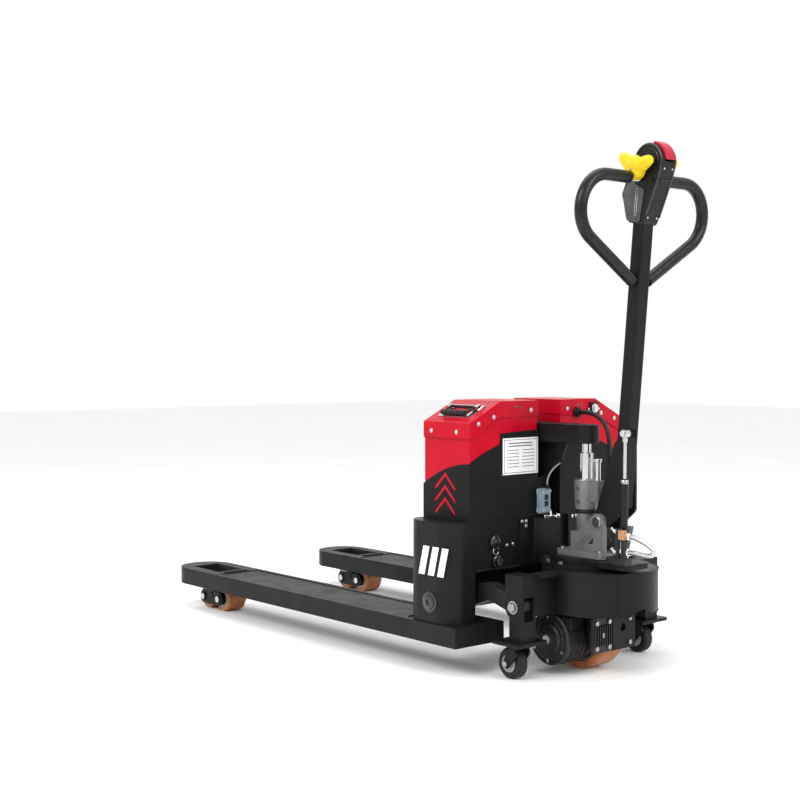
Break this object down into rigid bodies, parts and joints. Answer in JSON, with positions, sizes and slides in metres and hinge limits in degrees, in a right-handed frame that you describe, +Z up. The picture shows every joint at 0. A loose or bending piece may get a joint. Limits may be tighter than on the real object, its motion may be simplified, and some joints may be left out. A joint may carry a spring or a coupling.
{
  "type": "electric pallet truck",
  "caption": "Electric pallet truck with two long forks, red battery and controller towers, a hydraulic ram, a powered steered drive wheel and a tiller with looped handle.",
  "frame": {"origin": "on the floor, at the middle of the truck's overall length and width", "axes": "+X from the fork tips towards the operator and tiller, +Y to the operator's left as they face the forks, +Z up"},
  "size_m": [1.6581, 0.685, 1.2565],
  "materials": {
    "frame_black": "satin textured powder coat",
    "fork_grey": "satin powder coat",
    "cover_red": "semi-gloss paint",
    "wrap_black": "satin paint",
    "cast_grey": "grey painted casting",
    "chrome": "polished",
    "zinc": "zinc plated",
    "polyurethane": "amber polyurethane",
    "black_rubber": "matt",
    "black_plastic": "fine grain",
    "grey_plastic": "satin",
    "yellow_plastic": "semi-gloss",
    "red_plastic": "semi-gloss",
    "plate_white": "printed plate",
    "switch_blue": "painted die casting",
    "copper": "satin"
  },
  "bodies": {
    "base": {"base_frame": "frame_black", "pivot_bolts": "zinc"},
    "caster_left": {"caster_fork_left": "frame_black"},
    "caster_right": {"caster_fork_right": "frame_black"},
    "caster_wheel_left": {"caster_wheel_left": "black_rubber"},
    "caster_wheel_right": {"caster_wheel_right": "black_rubber"},
    "steer_unit": {"turntable": "frame_black", "pump_body": "cast_grey", "pump_collar": "cast_grey", "pump_plunger": "chrome", "solenoid_valve": "copper", "hydraulic_loop": "chrome", "motor_housing": "frame_black", "gearbox": "frame_black", "wheel_bracket": "frame_black", "tiller_pin": "chrome"},
    "drive_wheel": {"drive_tyre": "polyurethane", "drive_hub": "cast_grey"},
    "tiller": {"tiller_base": "frame_black", "tiller_tube": "frame_black", "handle_loops": "black_rubber", "head_housing": "black_plastic", "head_panels": "grey_plastic"},
    "throttle": {"throttle": "yellow_plastic"},
    "belly_button": {"belly_button": "red_plastic"},
    "gas_cylinder": {"gas_cylinder": "black_plastic"},
    "gas_rod": {"gas_rod": "zinc"},
    "lift_frame": {"fork_left": "fork_grey", "fork_right": "fork_grey", "frame_box": "frame_black", "tower_cover_left": "cover_red", "tower_cover_right": "cover_red", "tower_wrap_left": "wrap_black", "tower_wrap_right": "wrap_black", "tower_cap_left": "cover_red", "tower_cap_right": "cover_red", "cover_screws": "zinc", "lift_head": "frame_black", "data_plate": "plate_white", "grip_plate": "chrome", "charge_socket": "black_plastic", "cable_gland": "black_rubber", "control_cable": "black_rubber", "limit_switch": "switch_blue", "switch_cable": "grey_plastic", "frame_fittings": "black_plastic", "ram_rod": "chrome", "battery": "black_plastic", "controller": "grey_plastic"},
    "grip_bail": {"grip_bail": "black_rubber"},
    "rocker": {"torsion_tube": "frame_black"},
    "push_rods": {"push_rods": "frame_black"},
    "roller_arms": {"roller_arm_left": "frame_black", "roller_arm_right": "frame_black"},
    "bogies": {"bogie_left": "frame_black", "bogie_right": "frame_black"},
    "load_roller_1": {"load_roller_1": "polyurethane"},
    "load_roller_2": {"load_roller_2": "polyurethane"},
    "load_roller_3": {"load_roller_3": "polyurethane"},
    "load_roller_4": {"load_roller_4": "polyurethane"}
  },
  "joints": [
    {"name": "lift", "type": "slide", "parent": "base", "child": "lift_frame", "axis": [0, 0, 1], "range_m": [-0.034, 0.081]},
    {"name": "steer", "type": "hinge", "parent": "base", "child": "steer_unit", "pos_m": [0.56636, 0, 0], "axis": [0, 0, 1], "range_deg": [-90, 90]},
    {"name": "caster_swivel_left", "type": "hinge", "parent": "base", "child": "caster_left", "pos_m": [0.56136, -0.227, 0], "axis": [0, 0, 1], "continuous": true},
    {"name": "caster_swivel_right", "type": "hinge", "parent": "base", "child": "caster_right", "pos_m": [0.56136, 0.227, 0], "axis": [0, 0, 1], "continuous": true},
    {"name": "caster_roll_left", "type": "hinge", "parent": "caster_left", "child": "caster_wheel_left", "pos_m": [0.54336, -0.227, 0.037], "axis": [0, 1, 0], "continuous": true},
    {"name": "caster_roll_right", "type": "hinge", "parent": "caster_right", "child": "caster_wheel_right", "pos_m": [0.54336, 0.227, 0.037], "axis": [0, 1, 0], "continuous": true},
    {"name": "drive_roll", "type": "hinge", "parent": "steer_unit", "child": "drive_wheel", "pos_m": [0.56636, 0, 0.1], "axis": [0, 1, 0], "continuous": true},
    {"name": "tiller_tilt", "type": "hinge", "parent": "steer_unit", "child": "tiller", "pos_m": [0.63736, 0, 0.364], "axis": [0, 1, 0], "range_deg": [0, 75]},
    {"name": "throttle_turn", "type": "hinge", "parent": "tiller", "child": "throttle", "pos_m": [0.7499, 0, 1.19134], "axis": [0, 1, 0], "range_deg": [-30, 30], "stiffness_Nm_per_rad": 0.6},
    {"name": "belly_press", "type": "slide", "parent": "tiller", "child": "belly_button", "axis": [-0.7071, 0, -0.7071], "range_m": [0, 0.004], "stiffness_N_per_m": 400},
    {"name": "gas_swing", "type": "hinge", "parent": "steer_unit", "child": "gas_cylinder", "pos_m": [0.72836, 0, 0.353], "axis": [0, 1, 0], "range_deg": [-1, 100.6]},
    {"name": "gas_stroke", "type": "slide", "parent": "gas_cylinder", "child": "gas_rod", "axis": [0.0098, 0, 1], "range_m": [-0.0844, 0.001]},
    {"name": "bail_lift", "type": "hinge", "parent": "lift_frame", "child": "grip_bail", "pos_m": [0.35836, -0.21594, 0.63728], "axis": [-1, 0, 0], "range_deg": [0, 80]},
    {"name": "rocker_turn", "type": "hinge", "parent": "lift_frame", "child": "rocker", "pos_m": [0.36936, 0, 0.17], "axis": [0, 1, 0], "range_deg": [-12, 26]},
    {"name": "rod_push", "type": "slide", "parent": "lift_frame", "child": "push_rods", "axis": [-1, 0, 0], "range_m": [-0.005, 0.01]},
    {"name": "arm_turn", "type": "hinge", "parent": "lift_frame", "child": "roller_arms", "pos_m": [-0.45673, 0, 0.08], "axis": [0, 1, 0], "range_deg": [-27, 12]},
    {"name": "bogie_turn", "type": "hinge", "parent": "roller_arms", "child": "bogies", "pos_m": [-0.65364, 0, 0.045], "axis": [0, 1, 0], "range_deg": [-12, 27]},
    {"name": "load_roll_1", "type": "hinge", "parent": "bogies", "child": "load_roller_1", "pos_m": [-0.69314, -0.2625, 0.037], "axis": [0, 1, 0], "continuous": true},
    {"name": "load_roll_2", "type": "hinge", "parent": "bogies", "child": "load_roller_2", "pos_m": [-0.61414, -0.2625, 0.037], "axis": [0, 1, 0], "continuous": true},
    {"name": "load_roll_3", "type": "hinge", "parent": "bogies", "child": "load_roller_3", "pos_m": [-0.69314, 0.2625, 0.037], "axis": [0, 1, 0], "continuous": true},
    {"name": "load_roll_4", "type": "hinge", "parent": "bogies", "child": "load_roller_4", "pos_m": [-0.61414, 0.2625, 0.037], "axis": [0, 1, 0], "continuous": true}
  ],
  "couplings": [
    {"joint": "rocker_turn", "follows": "lift", "rad_per_m": 5.07},
    {"joint": "rod_push", "follows": "lift", "ratio": 0.101},
    {"joint": "arm_turn", "follows": "lift", "rad_per_m": -5.236},
    {"joint": "bogie_turn", "follows": "lift", "rad_per_m": 5.236},
    {"joint": "gas_swing", "follows": "tiller_tilt", "ratio": 1.3147},
    {"joint": "gas_stroke", "follows": "tiller_tilt", "m_per_rad": -0.063729}
  ]
}
